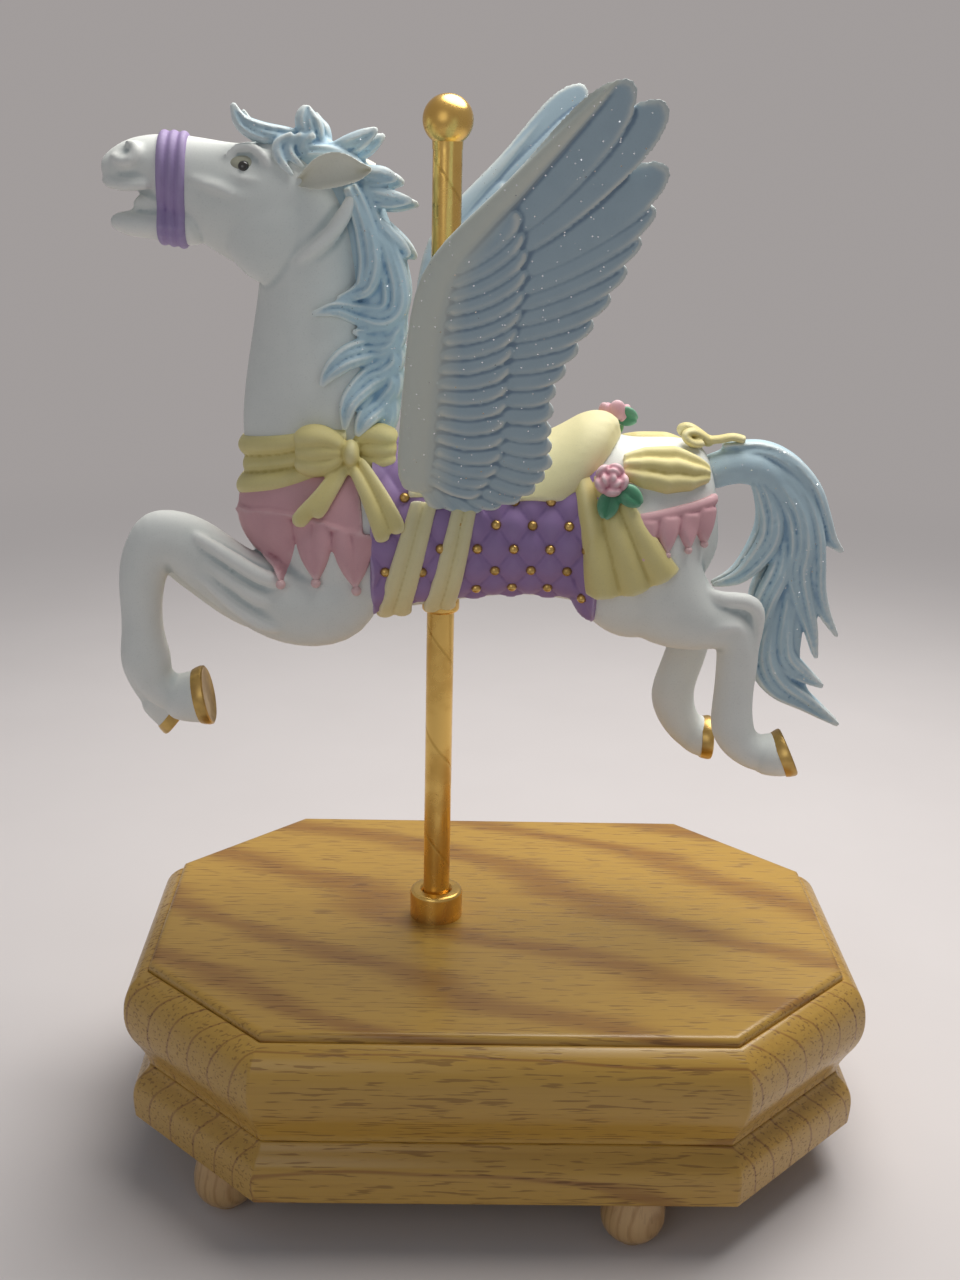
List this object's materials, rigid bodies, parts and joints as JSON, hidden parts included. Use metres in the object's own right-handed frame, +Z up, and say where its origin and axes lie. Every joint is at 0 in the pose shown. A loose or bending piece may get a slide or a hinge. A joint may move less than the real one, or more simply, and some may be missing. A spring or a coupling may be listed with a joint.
{
  "type": "carousel music box",
  "caption": "Wind-up music box with a winged carousel horse on a brass pole, which a cam raises and lowers above an octagonal oak case that holds the movement.",
  "frame": {"origin": "middle of the base on the surface that its feet stand on", "axes": "+Z up along the pole, -X the way the horse faces, -Y the side that the picture shows"},
  "size_m": [0.1731, 0.1216, 0.2497],
  "materials": {
    "oak": "satin lacquer, open grain",
    "foot_wood": "satin lacquer",
    "cover_board": "plain board",
    "brass": "polished",
    "steel": "plain",
    "zinc": "cast",
    "nylon": "moulded",
    "porcelain": "matte bisque",
    "blue_hair": "matte paint with glitter",
    "blue_feather": "matte paint with glitter",
    "purple_paint": "matte paint",
    "yellow_paint": "matte paint"
  },
  "bodies": {
    "base": {"top_plate": "oak", "upper_case": "oak", "lower_plinth": "oak", "corner_left_foot": "foot_wood", "front_foot": "foot_wood", "corner_right_foot": "foot_wood", "rear_foot": "foot_wood", "bottom_cover": "cover_board", "base_collar": "brass", "cover_screws": "steel", "comb": "steel", "comb_screws": "steel", "guide_post": "steel", "inner_bracket": "steel", "outer_bracket": "steel", "fan_bracket": "steel", "bedplate": "zinc", "bedplate_standoffs": "zinc", "comb_block": "zinc"},
    "rider": {"pole": "brass", "cam_follower": "steel", "steady_arm": "brass", "ball_finial": "brass", "belly_ring": "brass", "horse_torso": "porcelain", "horse_neck": "porcelain", "horse_head": "porcelain", "ears": "porcelain", "mane": "blue_hair", "tail": "blue_hair", "left_foreleg": "porcelain", "right_foreleg": "porcelain", "left_hind_leg": "porcelain", "right_hind_leg": "porcelain", "left_wing": "blue_feather", "right_wing": "blue_feather", "saddle_blanket": "purple_paint", "saddle": "yellow_paint", "rump_drape": "yellow_paint", "chest_ribbon": "yellow_paint", "nose_band": "purple_paint"},
    "barrel": {"spring_barrel": "brass", "mainspring": "steel", "crown_wheel": "brass", "lift_cam": "nylon"},
    "winder": {"winding_arbor": "steel", "winding_key": "steel"},
    "cylinder": {"cylinder_axle": "steel", "cylinder_pinion": "brass", "music_cylinder": "brass", "end_wheel": "brass"},
    "governor": {"governor_axle": "steel", "governor_pinion": "brass", "governor_wheel": "brass"},
    "fan": {"fan_axle": "steel", "fan_pinion": "brass", "governor_fan": "steel"}
  },
  "joints": [
    {"name": "pole_lift", "type": "slide", "parent": "base", "child": "rider", "axis": [0, 0, 1], "range_m": [-0.005, 0.005]},
    {"name": "cam_turn", "type": "hinge", "parent": "base", "child": "barrel", "pos_m": [0, 0, 0.025], "axis": [0, 0, 1], "range_deg": [-90.5, 90.5]},
    {"name": "cylinder_spin", "type": "hinge", "parent": "base", "child": "cylinder", "pos_m": [0.0337, 0, 0.0347], "axis": [1, 0, 0], "range_deg": [-353, 353]},
    {"name": "governor_spin", "type": "hinge", "parent": "base", "child": "governor", "pos_m": [0.046, 0.01168, 0.0347], "axis": [1, 0, 0], "range_deg": [-784, 784]},
    {"name": "fan_spin", "type": "hinge", "parent": "base", "child": "fan", "pos_m": [0.034, 0.02164, 0.0347], "axis": [1, 0, 0], "range_deg": [-2090, 2090]},
    {"name": "key_wind", "type": "hinge", "parent": "base", "child": "winder", "pos_m": [0, 0, 0.01], "axis": [0, 0, 1], "range_deg": [0, 1800]}
  ],
  "couplings": [
    {"joint": "cam_turn", "follows": "pole_lift", "rad_per_m": -314.16},
    {"joint": "cylinder_spin", "follows": "pole_lift", "rad_per_m": -1225.2},
    {"joint": "governor_spin", "follows": "pole_lift", "rad_per_m": 2722.7},
    {"joint": "fan_spin", "follows": "pole_lift", "rad_per_m": -7260.6}
  ]
}
